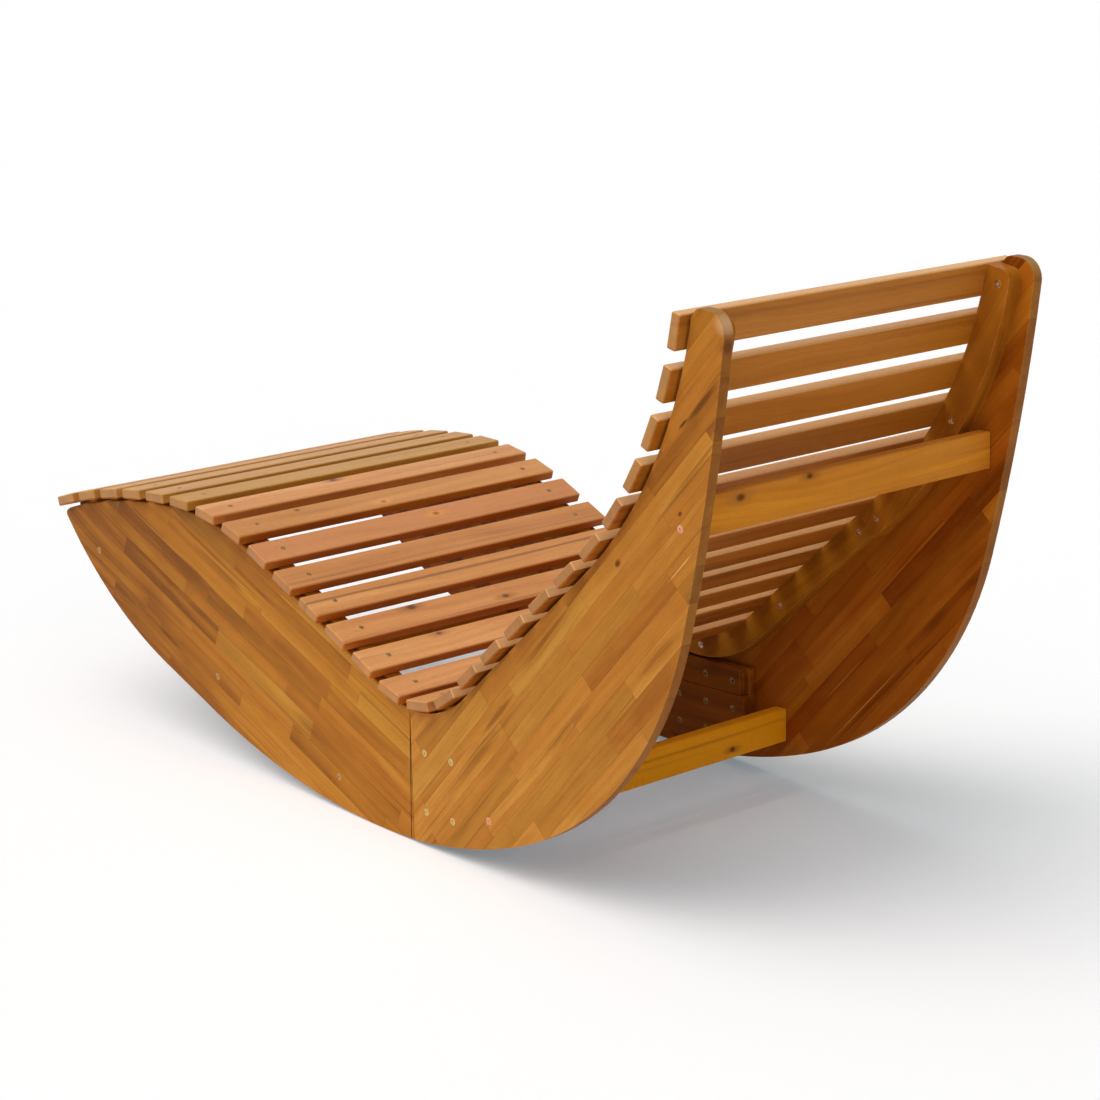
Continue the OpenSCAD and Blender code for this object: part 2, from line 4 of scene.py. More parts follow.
import bmesh
import bpy
import numpy as np
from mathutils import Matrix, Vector


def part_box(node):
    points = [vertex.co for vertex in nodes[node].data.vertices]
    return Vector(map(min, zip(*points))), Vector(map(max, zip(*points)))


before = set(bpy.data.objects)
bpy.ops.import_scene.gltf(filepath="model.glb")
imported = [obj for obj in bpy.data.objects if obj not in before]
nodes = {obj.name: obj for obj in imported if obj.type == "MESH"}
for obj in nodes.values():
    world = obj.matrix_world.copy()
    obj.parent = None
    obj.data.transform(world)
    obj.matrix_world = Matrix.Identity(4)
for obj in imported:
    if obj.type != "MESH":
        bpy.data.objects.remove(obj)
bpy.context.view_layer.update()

# Camera, fitted to the photograph, in the row frame
CAMERA_PLACE = (2.9954, -2.555, 1.4191)
CAMERA_TILT = 74.59
CAMERA_TURN = 48.60
CAMERA_LENS = 92.78
SENSOR = 36.0
CAMERA_REACH = 200

# Light: a sky that is brightest above, and two broad lamps: direction, level and spread
LAMPS = {
    "high_lamp": (Vector((-0.40, -1.0, 0.95)).normalized(), 0.185, 48),
    "low_lamp": (Vector((1.0, -0.40, 0.30)).normalized(), 0.10, 50),
}
SKY_FROM = Vector((-0.14, -0.48, 1.0)).normalized()
SKY_LOW = 0.17
SKY_LOBE = 2.86
SKY_POWER = 6
SKY_STEPS = 90
FLOOR_SIZE = 60
FLOOR_COLOUR = (0.935, 0.865, 0.835)

# Staves, soft edges, worn edges with a painted highlight, and dished screw heads, in metres and degrees
STAVE_WIDTH = 0.027
STAVE_LENGTH = 0.26
FRONT_STAVES = -21
REAR_STAVES = 48
EDGE_ROUND = 0.0024
EDGE_SEGMENTS = 3
SHARP_TURN = 35
SAME_FACE_TURN = 0.1
HOLE_REACH = 0.02
HEAD_ROUND = 0.0012
HEAD_SAMPLES = 6
SAME_POINT = 0.00001
SPOT_DIGITS = 6
WEAR_AND_HIGHLIGHT_REACH = 0.003
WEAR_AND_HIGHLIGHT_SAMPLES = 4
# Width of the painted shade in the gap where the front and rear panels meet
SEAM_REACH = 0.0013
JOINT_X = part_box("rear_panel_left")[0][0]

# Tones from dark to light, and the tint of the oil's sheen
SHEEN = "ffc890"
# Share of the gloss left on faces that look down: painted shade, a lowered reflection there
UNDER_SHEEN = 0.25
# Painted light: the colour laid on the back slats' upper faces that look to the rear
PAINTED_LIGHT_ON_TOPS = "ecb880"
FRONT_STOPS = [(0.08, "7d4710"), (0.36, "a2641a"), (0.64, "b77724"), (0.92, "c88c34")]
REAR_STOPS = [(0.08, "814814"), (0.36, "a86822"), (0.64, "bb7b2e"), (0.92, "cc913e")]
SLAT_STOPS = [(0.08, "965830"), (0.36, "c57f44"), (0.64, "d99453"), (0.92, "ebac6d")]
RAIL_STOPS = [(0.08, "6c380a"), (0.36, "94540e"), (0.64, "ae6a18"), (0.92, "c68628")]
BAR_STOPS = [(0.08, "9a5208"), (0.36, "c4740f"), (0.64, "da8814"), (0.92, "f6a616")]

# How each slat that the photograph shows well looks: tone, pink, gold
SLAT_LOOKS = {
    # Back slats 1 to 8 lie below the back crossbar: their low tones are painted shade
    "back_slat_1": (0.28, 0.1, 0.3),
    "back_slat_2": (0.24, 0.1, 0.3),
    "back_slat_3": (0.26, 0.1, 0.4),
    "back_slat_4": (0.20, 0.1, 0.3),
    "back_slat_5": (0.24, 0.1, 0.4),
    "back_slat_6": (0.22, 0.1, 0.3),
    "back_slat_7": (0.40, 0.2, 0.3),
    "back_slat_8": (0.22, 0.1, 0.2),
    "back_slat_9": (0.38, 0.0, 0.6),
    "back_slat_10": (0.58, 0.0, 0.7),
    "back_slat_11": (0.60, 0.0, 0.7),
    "back_slat_12": (0.60, 0.0, 0.6),
    "leg_slat_1": (0.50, 0.0, 0.5),
    "leg_slat_2": (0.55, 0.0, 0.7),
    "leg_slat_3": (0.50, 0.0, 0.6),
    "leg_slat_4": (0.60, 0.0, 0.8),
    "leg_slat_5": (0.52, 0.0, 0.8),
    "seat_slat_1": (0.46, 0.0, 1.0),
    "seat_slat_2": (0.62, 0.2, 0.0),
    "seat_slat_3": (0.52, 0.1, 0.2),
    "seat_slat_4": (0.48, 0.9, 0.0),
    "seat_slat_5": (0.44, 0.4, 0.1),
    "seat_slat_6": (0.56, 0.2, 0.1),
    "seat_slat_7": (0.62, 0.3, 0.0),
    "seat_slat_8": (0.66, 0.2, 0.0),
    "seat_slat_9": (0.60, 0.4, 0.0),
    "seat_slat_10": (0.56, 0.2, 0.1),
}
# How the two rear crossbars look: tone, pink, gold. The rear seat crossbar's high tone is partly lighter
# wood and partly painted light
BAR_LOOKS = {"back_crossbar": (0.56, 0.35, 0.0), "seat_rear_crossbar": (0.98, 0.0, 0.0)}
# Knots: place along and across, size, and how much the wood round it glows
KNOTS = {
    "seat_slat_2": [(-0.053, -0.017, 0.0035, 0.0)],
    "seat_slat_3": [(-0.029, 0.010, 0.0035, 1.0), (-0.172, -0.014, 0.003, 0.5)],
    "seat_slat_4": [(0.031, -0.004, 0.004, 1.0)],
    "seat_slat_7": [(-0.153, -0.016, 0.0042, 0.1), (0.005, 0.007, 0.004, 0.1)],
    "seat_slat_8": [(-0.151, -0.017, 0.0045, 0.1)],
    "back_crossbar": [(-0.193, -0.014, 0.0046, 0.2), (-0.073, -0.021, 0.0034, 0.1)],
    "seat_rear_crossbar": [(0.16, 0.012, 0.003, 0.2)],
}
NO_KNOT = (5.0, 0.0, 0.004, 0.0)
# A dark streak that runs along one slat: place across, and strength
STREAKS = {
    "seat_slat_6": (-0.006, 0.75),
    "seat_slat_5": (0.012, 0.3),
    "back_slat_12": (0.01, 0.3),
}
NO_STREAK = (0.0, 0.0)

# Marks on the panels: side, place in the side view, half length, half width, strength, colour
MARKS = {
    "front": [
        (-1, (-0.487, 0.195), 0.060, 0.030, 0.45, "7a430f"),
        (-1, (-0.445, 0.158), 0.034, 0.006, 0.75, "6e390c"),
        (-1, (-0.300, 0.290), 0.110, 0.005, 0.45, "7a4616"),
        (-1, (-0.560, 0.300), 0.050, 0.008, 0.40, "84501c"),
        (-1, (-0.372, 0.275), 0.075, 0.009, 0.70, "74420f"),
        (-1, (-0.258, 0.226), 0.110, 0.011, 0.45, "80480f"),
        (-1, (-0.236, 0.268), 0.040, 0.010, 0.55, "d0932a"),
        (-1, (-0.083, 0.104), 0.060, 0.012, 0.50, "7c4414"),
    ],
    "rear": [
        (-1, (0.655, 0.566), 0.0045, 0.0026, 0.85, "4e2408"),
        (-1, (0.317, 0.228), 0.046, 0.005, 0.70, "7c4814"),
        (-1, (0.288, 0.178), 0.060, 0.006, 0.45, "845018"),
        (-1, (0.690, 0.706), 0.050, 0.0052, 0.85, "5e320c"),
        (-1, (0.658, 0.676), 0.012, 0.0022, 0.85, "4e2408"),
        (-1, (0.547, 0.482), 0.008, 0.005, 0.85, "4e2408"),
        (-1, (0.421, 0.357), 0.080, 0.010, 0.65, "80490f"),
        (-1, (0.276, 0.160), 0.125, 0.007, 0.55, "80490f"),
        (-1, (0.621, 0.380), 0.046, 0.009, 0.55, "844c14"),
        (-1, (0.457, 0.245), 0.070, 0.009, 0.55, "844c14"),
        (-1, (0.657, 0.500), 0.030, 0.0010, 0.70, "e8b86c"),
        (1, (0.455, 0.151), 0.105, 0.0009, 0.80, "d89a3c"),
        (1, (0.417, 0.182), 0.056, 0.0009, 0.70, "c88834"),
    ],
}
# Marks wider than this break up into strands, where the streaks are in this range
STRAND_REACH = 0.0055
STRAND_SPAN = (0.40, 0.60, 0.30, 1.15)
# Spots on the near panel's head: place, reach of the full colour, end of the fade, strength, colour. The
# pale one on the corner is partly wear and partly a painted highlight
HEAD_SPOTS = [
    ((0.722, -0.278, 0.803), 0.004, 0.020, 0.65, "e2b488"),
    ((0.724, -0.278, 0.776), 0.003, 0.014, 0.55, "4e2c14"),
]

# Layers of noise in the wood: waves per metre along, across and through the fibres, shift by the
# seed, detail, roughness and distortion
WANDER = ((2.6, 9.0, 9.0), 37.0, 1.0, 0.5, 0.0)
FIGURE = ((1.5, 62.0, 62.0), 37.0, 2.0, 0.55, 0.0)
STREAK = ((7.0, 330.0, 330.0), 37.0, 3.0, 0.6, 0.0)
PORE = ((75.0, 1900.0, 1900.0), 37.0, 1.0, 0.5, 0.0)
CURL = ((9.0, 26.0, 26.0), 20.0, 2.0, 0.5, 0.6)
DARK_RUN = ((3.2, 150.0, 60.0), 61.0, 2.0, 0.5, 0.0)
BLUSH = ((6.0, 22.0, 22.0), 53.0, 2.0, 0.5, 0.0)
LONG_STREAK = ((1.1, 85.0, 40.0), 91.0, 2.0, 0.5, 0.0)
WANDER_REACH = 0.05

# A span is the low and high end of what is read, then the share at each end, or else 0 and 1
# All wood: pores, worn edges with a painted highlight, end grain, roughness, and relief as strength and
# depth
PORE_SPAN, PORE_COLOUR = (0.60, 0.74, 0.0, 0.30), "5a300e"
WEAR_AND_HIGHLIGHT_SPAN, WEAR_AND_HIGHLIGHT_COLOUR = (0.75, 0.985, 1.0, 0.0), "dc9a50"
WEAR_AND_HIGHLIGHT_STREAKS = (0.3, 0.7, 0.15, 0.55)
END_SPAN = (0.72, 0.98)
ROUGHNESS_SPAN = (0.25, 0.75, 0.36, 0.54)
GRAIN_RELIEF = (0.35, 0.0006)
SEAM_RELIEF = (0.4, 0.0004)

# Panels: how loosely the staves are laid, and what tells one piece's chances from the next
ROW_LOOSE, PIECE_LOOSE = 0.45, 0.9
ROW_START, ROW_LUCK, FAR_LUCK = 7.31, 3.7, 11.3
# Weights of what varies a stave's tone
STAVE_LUCK, INNER_LUCK = 0.38, 0.24
STAVE_FIGURE, STAVE_STREAKS, STAVE_CURL = 0.80, 0.32, 0.50
RED_SPAN, RED_COLOUR = (0.45, 1.0, 0.0, 0.20), "b86a24"
GOLD_SPAN, GOLD_COLOUR = (0.0, 0.35, 0.18, 0.0), "ac8a34"
DARK_RUN_SPAN, DARK_RUN_COLOUR = (0.60, 0.78, 0.0, 0.55), "6c3a10"
# Inner faces: where they turn inward, and a painted shade that darkens them, partly their own deeper amber
INNER_SPAN, INNER_PAINTED_SHADE_SHARE, INNER_PAINTED_SHADE = (-0.2, -0.05, 1.0, 0.0), 0.9, "ecc680"
RIM_SPAN, RIM_SHARE, RIM_COLOUR = (0.4, 0.85, 1.0, 0.0), 0.5, "7a4c1c"
STAVE_END_SHARE, STAVE_END_COLOUR = 0.5, "b48c50"
SEAM_SPAN, SEAM_SHARE, SEAM_COLOUR = (0.0002, 0.0008), 0.30, "7a4416"
# Painted shade: a dark line in the gap where the front and rear panels meet
GAP_PAINTED_SHADE_SHARE, GAP_PAINTED_SHADE = 0.9, "2c1606"
MARK_RAGGED = 0.9
MARK_SPAN = (0.35, 1.15)
PANEL_GLOSS = 0.12
# How a panel's middle tone changes: the axis, its range, and the tone at either end
FRONT_FADE = (0, -0.70, -0.10, 0.14, 0.54)
REAR_FADE = (2, 0.10, 0.60, 0.60, 0.38)

# Boards: weights of what varies the tone, then the pink, gold, streaks, ends, and the faces that get painted
# light or painted shade
BOARD_FIGURE, BOARD_STREAKS, BOARD_BLUSH = 0.95, 0.36, 0.40
BLUSH_SPAN = (0.3, 0.7, 0.45, 0.85)
BOARD_GOLD_SHARE, BOARD_GOLD_COLOUR = 0.6, "b08420"
LONG_STREAK_SPAN = (0.60, 0.76, 0.0, 0.45)
OWN_STREAK_SPAN, OWN_STREAK_WAVE = (0.0005, 0.0045, 1.0, 0.0), 0.014
BOARD_END_COLOUR = "a07246"
BACKWARD_SPAN, UPWARD_SPAN = (0.05, 0.20), (0.20, 0.35)
DOWNWARD_SPAN = (-0.25, 0.0, 1.0, 0.0)
PAINTED_LIGHT_ON_TOPS_SHARE = 0.6
# Knots: colours where the wood round them is dark and where it glows, and reach in knot sizes
HALO_DARK, HALO_GLOW = "7a3e18", "f0a24c"
HEART_DARK, HEART_GLOW = "3e1c08", "8a4a18"
HALO_STRETCH, HALO_RAGGED, HALO_SPAN = 3.0, 1.6, (0.4, 2.6, 0.55, 0.0)
HEART_STRETCH, HEART_RAGGED, HEART_SPAN = 1.5, 1.2, (0.3, 1.5, 0.85, 0.0)
BEND_STRETCH, BEND_SPAN = 1.7, (0.6, 3.4, -0.55, 0.0)

# Each board wood: its stops, pink, dark streaks, gloss, and the painted shade of the faces that look down
BOARD_WOODS = {
    "slat": (SLAT_STOPS, "d08858", "84502c", 0.50, "e8cc8c"),
    "rail": (RAIL_STOPS, "9a5418", "542a08", 0.10, "ffffff"),
    "bar": (BAR_STOPS, "c08c4a", "8a5208", 0.10, "ffffff"),
    "splice": (RAIL_STOPS, "7a3c1a", "42200c", 0.12, "ffffff"),
}

# Each plating: bright colour, colour in patches, roughness, and bright colour at the foot end
PLATINGS = {
    "copper": ("eeb090", "c07850", 0.22, "b89a58"),
    # Rail screws: strongly contrasting patches, partly wear and partly painted glints
    "worn_and_glinting": ("ffe2c0", "84603c", 0.20, "b89a58"),
    "brass": ("e0c080", "b09048", 0.28, None),
    "dull": ("b08c58", "7a5a30", 0.38, None),
}
# Metal: patches per metre, where they show and what they roughen, and relief
PATCH_SCALE, PATCH_DETAIL = 420.0, 3.0
PATCH_SPAN = (0.35, 0.7)
PATCH_ROUGH_SPAN = (0.3, 0.7)
PATCH_ROUGHENS = 0.2
METAL_RELIEF = (0.2, 0.0002)

# Floor: waves per metre of its cloud, where the cloud shows, and how much it darkens
FLOOR_CLOUD, FLOOR_DETAIL, FLOOR_SPAN, FLOOR_DARKER = 3.0, 3.0, (0.2, 0.8), 0.995
FLOOR_ROUGHNESS = 0.9

# Chance: the ranges of a board's tone, pink and gold, and of a knot's place and size
SEED = 7
LOOK_RANGES = ((0.40, 0.62), (0.0, 0.6), (0.0, 0.3))
KNOT_RANGES = ((-0.26, 0.26), (-0.018, 0.018), (0.0025, 0.005))
KNOT_CHANCE = 0.4
# How much the splice boards' tone is lowered: painted shade, where they sit between the panels
SPLICE_PAINTED_SHADE = 0.2
# The material of each node: the first of these words that its name holds
KINDS = [
    ("slat_screws", "dull"),
    ("splice_screws", "dull"),
    ("splice_nuts", "dull"),
    ("splice_bolts", "brass"),
    ("rail_screws", "worn_and_glinting"),
    ("crossbar_screws", "copper"),
    ("front_panel", "front"),
    ("rear_panel", "rear"),
    ("crossbar", "bar"),
    ("slat", "slat"),
    ("rail", "rail"),
    ("splice_board", "splice"),
    ("cleat", "splice"),
]


def colour(code):
    """A colour such as "b0742c" as linear red, green, blue and alpha."""
    parts = [int(code[i : i + 2], 16) / 255 for i in (0, 2, 4)]
    return [p / 12.92 if p <= 0.04045 else ((p + 0.055) / 1.055) ** 2.4 for p in parts] + [1.0]


class Graph:
    """A node graph, built from short calls that take and return sockets or plain numbers."""

    def __init__(self, tree):
        self.tree = tree

    def node(self, kind, inputs=(), **settings):
        n = self.tree.nodes.new("ShaderNode" + kind)
        for key, value in settings.items():
            setattr(n, key, value)
        for key, value in dict(inputs).items():
            self.put(n.inputs[key], value)
        return n

    def put(self, socket, value):
        if isinstance(value, bpy.types.NodeSocket):
            self.tree.links.new(value, socket)
        else:
            socket.default_value = value

    def math(self, operation, *values):
        return self.node("Math", enumerate(values), operation=operation).outputs[0]

    def add(self, value, centred, weight):
        """Adds a share that varies about 0.5, with this weight."""
        return self.math("MULTIPLY_ADD", self.math("SUBTRACT", centred, 0.5), weight, value)

    def span(self, value, low, high, to_low=0.0, to_high=1.0):
        """A smooth step, from one share at the low end to another at the high end."""
        inputs = {"Value": value, "From Min": low, "From Max": high, "To Min": to_low, "To Max": to_high}
        return self.node("MapRange", inputs, interpolation_type="SMOOTHSTEP").outputs["Result"]

    def vector(self, x, y, z):
        return self.node("CombineXYZ", {"X": x, "Y": y, "Z": z}).outputs[0]

    def dot(self, a, b):
        return self.node("VectorMath", {0: a, 1: b}, operation="DOT_PRODUCT").outputs["Value"]

    def distance(self, a, b):
        return self.node("VectorMath", {0: a, 1: b}, operation="DISTANCE").outputs["Value"]

    def scaled(self, vector, scale):
        return self.node("VectorMath", {0: vector, "Scale": scale}, operation="SCALE").outputs[0]

    def noise(self, vector, detail=2.0, roughness=0.5, distortion=0.0):
        inputs = {"Vector": vector, "Scale": 1.0, "Detail": detail}
        inputs.update({"Roughness": roughness, "Distortion": distortion})
        return self.node("TexNoise", inputs).outputs["Fac"]

    def cells(self, value, loose):
        """One-dimensional cells: the middle of each, and the distance to its edge."""
        inputs = {"W": value, "Scale": 1.0, "Randomness": loose}
        near = self.node("TexVoronoi", inputs, voronoi_dimensions="1D")
        edge = self.node("TexVoronoi", inputs, voronoi_dimensions="1D", feature="DISTANCE_TO_EDGE")
        return near.outputs["W"], edge.outputs["Distance"]

    def luck(self, value):
        """Three chances, 0 to 1, that stay the same for the same value."""
        chance = self.node("TexWhiteNoise", {"W": value}, noise_dimensions="1D").outputs["Color"]
        return self.node("SeparateColor", {"Color": chance}).outputs[:3]

    def parts(self, vector):
        return self.node("SeparateXYZ", {"Vector": vector}).outputs

    def mix(self, share, a, b, blend="MIX"):
        n = self.node("Mix", data_type="RGBA", blend_type=blend)
        for key, value in (("Factor", share), ("A", a), ("B", colour(b) if isinstance(b, str) else b)):
            self.put(n.inputs[key], value)
        return n.outputs["Result"]

    def ramp(self, share, stops):
        n = self.node("ValToRGB", {"Fac": share})
        ends = n.color_ramp.elements
        while len(ends) < len(stops):
            ends.new(0.5)
        for end, (place, code) in zip(ends, stops):
            end.position = place
            end.color = colour(code)
        return n.outputs["Color"]

    def own(self, name):
        """A number that each object carries as its own property."""
        return self.node("Attribute", attribute_type="OBJECT", attribute_name=name).outputs["Fac"]

    def true_normal(self):
        return self.node("NewGeometry").outputs["True Normal"]


class Surface(Graph):
    """The graph of a new material."""

    def __init__(self, name):
        self.material = bpy.data.materials.new(name)
        self.material.use_nodes = True
        super().__init__(self.material.node_tree)
        self.shader = self.tree.nodes["Principled BSDF"]

    def set(self, name, value):
        self.put(self.shader.inputs[name], value)


def relief(g, height, strength_and_depth, normal=None):
    """A bumped normal, on top of another if one is given."""
    strength, depth = strength_and_depth
    inputs = {"Height": height, "Strength": strength, "Distance": depth}
    if normal is not None:
        inputs["Normal"] = normal
    return g.node("Bump", inputs).outputs[0]


def finish_wood(g, tone, grains, gloss, seams=None):
    """Finishes wood with its pores, its paler edges, which are partly wear and partly a painted highlight,
    and its gloss, and with relief from its grain and any seams.
    """
    streaks, pores = grains
    tone = g.mix(g.span(pores, *PORE_SPAN), tone, PORE_COLOUR)
    # Paler edges: partly wear, partly a painted highlight along every edge
    soft = g.node("Bevel", {"Radius": WEAR_AND_HIGHLIGHT_REACH}, samples=WEAR_AND_HIGHLIGHT_SAMPLES).outputs["Normal"]
    wear_and_highlight = g.span(g.dot(soft, g.true_normal()), *WEAR_AND_HIGHLIGHT_SPAN)
    wear_and_highlight = g.math("MULTIPLY", wear_and_highlight, g.span(streaks, *WEAR_AND_HIGHLIGHT_STREAKS))
    g.set("Base Color", g.mix(wear_and_highlight, tone, WEAR_AND_HIGHLIGHT_COLOUR))
    fine = g.math("MULTIPLY_ADD", pores, 0.5, g.math("MULTIPLY", streaks, 0.5))
    g.set("Roughness", g.span(fine, *ROUGHNESS_SPAN))
    g.set("Specular IOR Level", gloss)
    g.set("Specular Tint", colour(SHEEN))
    normal = relief(g, fine, GRAIN_RELIEF)
    if seams is not None:
        normal = relief(g, seams, SEAM_RELIEF, normal)
    g.set("Normal", normal)
    return g.material


def layer(g, place, seed, look):
    """One layer of noise in the wood, about 0 to 1, at a place along, across and through the fibres."""
    (along, across, through), (scales, shift, detail, roughness, distortion) = place, look
    stretched = g.vector(
        g.math("MULTIPLY_ADD", along, scales[0], g.math("MULTIPLY", seed, shift)),
        g.math("MULTIPLY", across, scales[1]),
        g.math("MULTIPLY", through, scales[2]),
    )
    return g.noise(stretched, detail, roughness, distortion)


def grain(g, place, seed):
    """Broad figure, streaks and pores, each about 0 to 1, whose lines wander across the board."""
    along, across, through = place
    across = g.math("MULTIPLY_ADD", layer(g, place, seed, WANDER), WANDER_REACH, across)
    return [layer(g, (along, across, through), seed, look) for look in (FIGURE, STREAK, PORE)]


def end_grain(g, direction):
    """How squarely a face shows the ends of the fibres that run in this direction."""
    return g.span(g.math("ABSOLUTE", g.dot(g.true_normal(), direction)), *END_SPAN)


def length_of(g, a, b):
    """The length of a flat vector."""
    return g.math("SQRT", g.math("ADD", g.math("MULTIPLY", a, a), g.math("MULTIPLY", b, b)))


def marked(g, tone, marks, side, angle, place, grains):
    """Lays the panel's knots, streaks and glue lines over its tone. Wide ones break up into strands."""
    along, across = place
    figure, streaks = grains
    c, s = cos(radians(angle)), sin(radians(angle))
    strands = g.span(streaks, *STRAND_SPAN)
    for which, (x, z), length, width, strength, code in marks:
        off_along = g.math("DIVIDE", g.math("SUBTRACT", along, x * c + z * s), length)
        off_across = g.math("DIVIDE", g.math("SUBTRACT", across, z * c - x * s), width)
        reach = g.add(length_of(g, off_along, off_across), figure, MARK_RAGGED)
        mask = g.span(reach, *MARK_SPAN, strength, 0.0)
        if width > STRAND_REACH:
            mask = g.math("MULTIPLY", mask, strands)
        on_side = g.math("GREATER_THAN", g.math("MULTIPLY", side, which), 0.0)
        tone = g.mix(g.math("MULTIPLY", mask, on_side), tone, code)
    return tone


def stave_piece(g, along, across, side):
    """The three chances of the stave piece at a place, and how far the piece's edge is."""
    row, row_edge = g.cells(g.math("DIVIDE", across, STAVE_WIDTH), ROW_LOOSE)
    start = g.math("MULTIPLY", row, ROW_START)
    piece, piece_edge = g.cells(g.math("MULTIPLY_ADD", along, 1 / STAVE_LENGTH, start), PIECE_LOOSE)
    far_side = g.math("MULTIPLY", g.math("GREATER_THAN", side, 0.0), FAR_LUCK)
    luck = g.math("ADD", g.math("ADD", piece, g.math("MULTIPLY", row, ROW_LUCK)), far_side)
    row_edge = g.math("MULTIPLY", row_edge, STAVE_WIDTH)
    piece_edge = g.math("MULTIPLY", piece_edge, STAVE_LENGTH)
    return g.luck(luck), g.math("MINIMUM", row_edge, piece_edge)


def stave_tone(g, stops, share, place, chances, grains, inner):
    """The colour of bare stave wood, round a middle share of its stops."""
    tone_luck, hue_luck, grain_luck = chances
    figure, streaks, _ = grains
    share = g.add(share, tone_luck, g.math("MULTIPLY_ADD", inner, INNER_LUCK, STAVE_LUCK))
    share = g.add(share, figure, STAVE_FIGURE)
    share = g.add(share, streaks, STAVE_STREAKS)
    share = g.add(share, layer(g, place, grain_luck, CURL), STAVE_CURL)
    tone = g.ramp(share, stops)
    tone = g.mix(g.span(hue_luck, *RED_SPAN), tone, RED_COLOUR)
    tone = g.mix(g.span(hue_luck, *GOLD_SPAN), tone, GOLD_COLOUR)
    dark_run = layer(g, place, grain_luck, DARK_RUN)
    return g.mix(g.span(dark_run, *DARK_RUN_SPAN), tone, DARK_RUN_COLOUR)


def stave_wood(name, angle, stops, marks, fade):
    """A panel glued up from staves that lie at this angle in the side view, each its own tone."""
    g = Surface(name)
    at = g.node("TexCoord").outputs["Object"]
    x, side = g.parts(at)[:2]
    turned = g.node("Mapping", {"Vector": at, "Rotation": (0, radians(angle), 0)}).outputs[0]
    along, through, across = g.parts(turned)[:3]
    chances, edge = stave_piece(g, along, across, side)
    place = (along, across, through)
    grains = grain(g, place, chances[2])
    outward = g.math("MULTIPLY", g.parts(g.true_normal())[1], g.math("SIGN", side))
    inner = g.span(outward, *INNER_SPAN)
    share = g.span(g.parts(at)[fade[0]], *fade[1:])
    tone = stave_tone(g, stops, share, place, chances, grains, inner)
    # Painted shade on the panels' inner faces, which also deepens their amber
    tone = g.mix(g.math("MULTIPLY", inner, INNER_PAINTED_SHADE_SHARE), tone, INNER_PAINTED_SHADE, "MULTIPLY")
    rim = g.span(g.math("ABSOLUTE", outward), *RIM_SPAN)
    tone = g.mix(g.math("MULTIPLY", rim, RIM_SHARE), tone, RIM_COLOUR)
    tone = marked(g, tone, marks, side, angle, (along, across), grains[:2])
    ends = end_grain(g, (cos(radians(angle)), 0, sin(radians(angle))))
    tone = g.mix(g.math("MULTIPLY", ends, STAVE_END_SHARE), tone, STAVE_END_COLOUR)
    seam = g.span(edge, *SEAM_SPAN)
    tone = g.mix(g.span(seam, 0.0, 1.0, SEAM_SHARE, 0.0), tone, SEAM_COLOUR)
    # Painted shade in the gap where the front and rear panels meet
    to_joint = g.math("ABSOLUTE", g.math("SUBTRACT", x, JOINT_X))
    gap_painted_shade = g.span(to_joint, SEAM_REACH / 2, SEAM_REACH, GAP_PAINTED_SHADE_SHARE, 0.0)
    tone = g.mix(gap_painted_shade, tone, GAP_PAINTED_SHADE)
    # The head's spots: the pale one is a painted highlight on worn wood
    for middle, near, far, strength, code in HEAD_SPOTS:
        tone = g.mix(g.span(g.distance(at, middle), near, far, strength, 0.0), tone, code)
    return finish_wood(g, tone, grains[1:], PANEL_GLOSS, seam)


def knot_place(g, along, across, number):
    """Where a point lies from one of the board's own knots, along and across the fibres, in knot sizes."""
    size = g.own(f"knot{number}_size")
    off_along = g.math("DIVIDE", g.math("SUBTRACT", along, g.own(f"knot{number}_along")), size)
    off_across = g.math("DIVIDE", g.math("SUBTRACT", across, g.own(f"knot{number}_across")), size)
    return off_along, off_across


def oval(g, off_along, off_across, stretch):
    """Distance from the middle of an oval that is this much longer along the fibres."""
    return length_of(g, g.math("DIVIDE", off_along, stretch), off_across)


def knotted(g, tone, offsets, ragged, number):
    """One of the board's own knots: a ragged dark heart, and wood round it that darkens or glows."""
    glow = g.own(f"knot{number}_glow")
    halo = g.mix(glow, colour(HALO_DARK), HALO_GLOW)
    heart = g.mix(glow, colour(HEART_DARK), HEART_GLOW)
    wide = g.add(oval(g, *offsets, HALO_STRETCH), ragged, HALO_RAGGED)
    tone = g.mix(g.span(wide, *HALO_SPAN), tone, halo)
    tight = g.add(oval(g, *offsets, HEART_STRETCH), ragged, HEART_RAGGED)
    return g.mix(g.span(tight, *HEART_SPAN), tone, heart)


def board_place(g):
    """Where a point lies along, across and through the fibres of its board."""
    place = g.parts(g.node("TexCoord").outputs["Object"])
    x = g.math("SUBTRACT", place[0], g.own("middle_x"))
    z = g.math("SUBTRACT", place[2], g.own("middle_z"))
    c, s = g.own("turn_cos"), g.own("turn_sin")
    level = g.math("ADD", g.math("MULTIPLY", x, c), g.math("MULTIPLY", z, s))
    through = g.math("SUBTRACT", g.math("MULTIPLY", z, c), g.math("MULTIPLY", x, s))
    runs_in_y = g.own("runs_in_y")
    along = g.node("Mix", {"Factor": runs_in_y, "A": level, "B": place[1]}).outputs["Result"]
    across = g.node("Mix", {"Factor": runs_in_y, "A": place[1], "B": level}).outputs["Result"]
    return along, across, through


def bent_round(g, across, knots):
    """The place across the fibres, where they bend round the knots."""
    for number, (off_along, off_across) in enumerate(knots):
        near = g.span(oval(g, off_along, off_across, BEND_STRETCH), *BEND_SPAN)
        pull = g.math("MULTIPLY", off_across, g.own(f"knot{number}_size"))
        across = g.math("MULTIPLY_ADD", pull, near, across)
    return across


